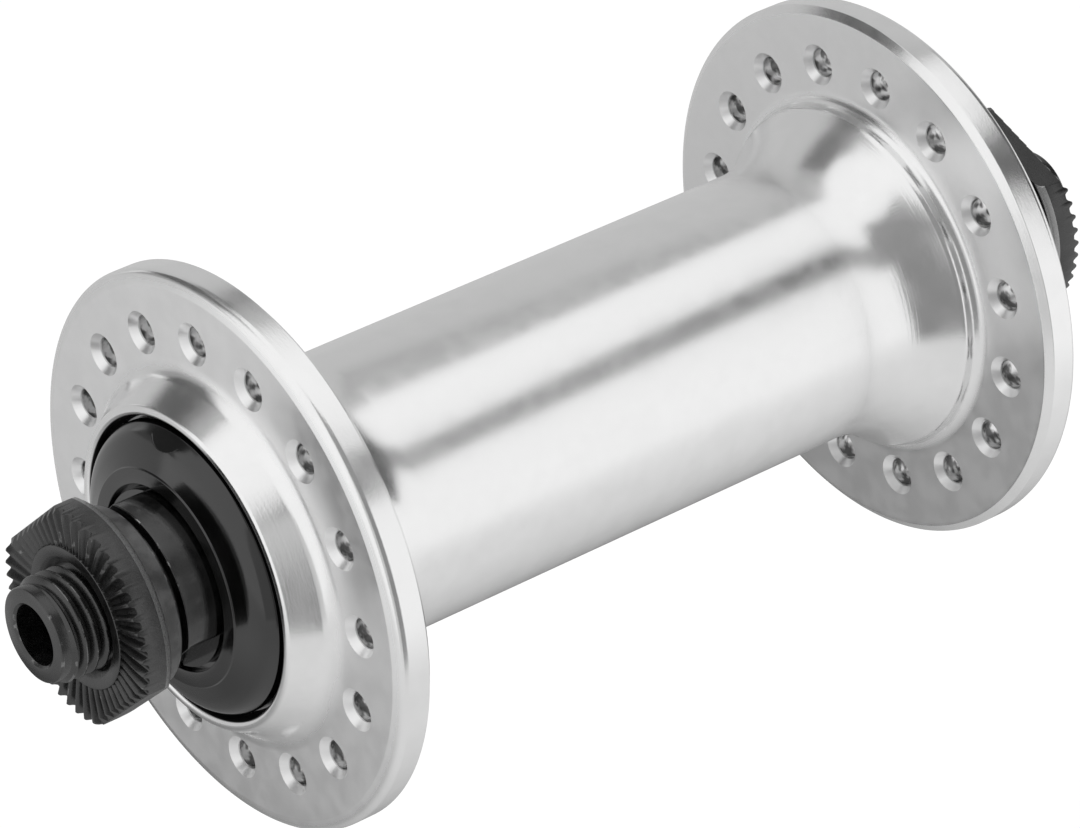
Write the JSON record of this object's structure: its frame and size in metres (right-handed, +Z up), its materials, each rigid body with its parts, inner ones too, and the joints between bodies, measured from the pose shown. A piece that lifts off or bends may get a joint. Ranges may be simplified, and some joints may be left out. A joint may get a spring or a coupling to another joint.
{
  "type": "bicycle front hub",
  "caption": "Quick-release bicycle front hub with two drilled spoke flanges, cup-and-cone ball bearings, a hollow threaded axle, and toothed locknuts that clamp in the fork.",
  "frame": {"origin": "centre of the hub, midway between the two flanges and the two locknuts, on the axle's axis", "axes": "+Y along the axle towards the left end (the right end is at -Y), +Z up, +X forward"},
  "size_m": [0.0486, 0.108, 0.0486],
  "materials": {
    "satin_aluminium": "satin, fine turning marks",
    "black_axle_steel": "black oxide, satin",
    "race_steel": "hardened and ground",
    "pressed_steel": "pressed, plated",
    "black_cone_steel": "black oxide, satin",
    "gloss_black_cover": "glossy black",
    "black_washer_steel": "black oxide, satin",
    "black_nut_steel": "black oxide, satin",
    "ball_steel": "polished"
  },
  "bodies": {
    "axle_set": {"axle": "black_axle_steel", "right_cone": "black_cone_steel", "right_dust_cover": "gloss_black_cover", "right_washer": "black_washer_steel", "right_locknut": "black_nut_steel", "left_cone": "black_cone_steel", "left_dust_cover": "gloss_black_cover", "left_washer": "black_washer_steel", "left_locknut": "black_nut_steel"},
    "shell": {"hub_shell": "satin_aluminium", "right_bearing_cup": "race_steel", "right_dust_cap": "pressed_steel", "left_bearing_cup": "race_steel", "left_dust_cap": "pressed_steel"},
    "right_ball_set": {"right_ball_1": "ball_steel", "right_ball_2": "ball_steel", "right_ball_3": "ball_steel", "right_ball_4": "ball_steel", "right_ball_5": "ball_steel", "right_ball_6": "ball_steel", "right_ball_7": "ball_steel", "right_ball_8": "ball_steel", "right_ball_9": "ball_steel", "right_ball_10": "ball_steel"},
    "left_ball_set": {"left_ball_1": "ball_steel", "left_ball_2": "ball_steel", "left_ball_3": "ball_steel", "left_ball_4": "ball_steel", "left_ball_5": "ball_steel", "left_ball_6": "ball_steel", "left_ball_7": "ball_steel", "left_ball_8": "ball_steel", "left_ball_9": "ball_steel", "left_ball_10": "ball_steel"}
  },
  "joints": [
    {"name": "shell_spin", "type": "hinge", "parent": "axle_set", "child": "shell", "pos_m": [0, 0, 0], "axis": [0, 1, 0], "continuous": true},
    {"name": "right_ball_orbit", "type": "hinge", "parent": "axle_set", "child": "right_ball_set", "pos_m": [0, -0.0347, 0], "axis": [0, 1, 0], "continuous": true},
    {"name": "left_ball_orbit", "type": "hinge", "parent": "axle_set", "child": "left_ball_set", "pos_m": [0, 0.0347, 0], "axis": [0, 1, 0], "continuous": true}
  ],
  "couplings": [
    {"joint": "right_ball_orbit", "follows": "shell_spin", "ratio": 0.605},
    {"joint": "left_ball_orbit", "follows": "shell_spin", "ratio": 0.605}
  ]
}
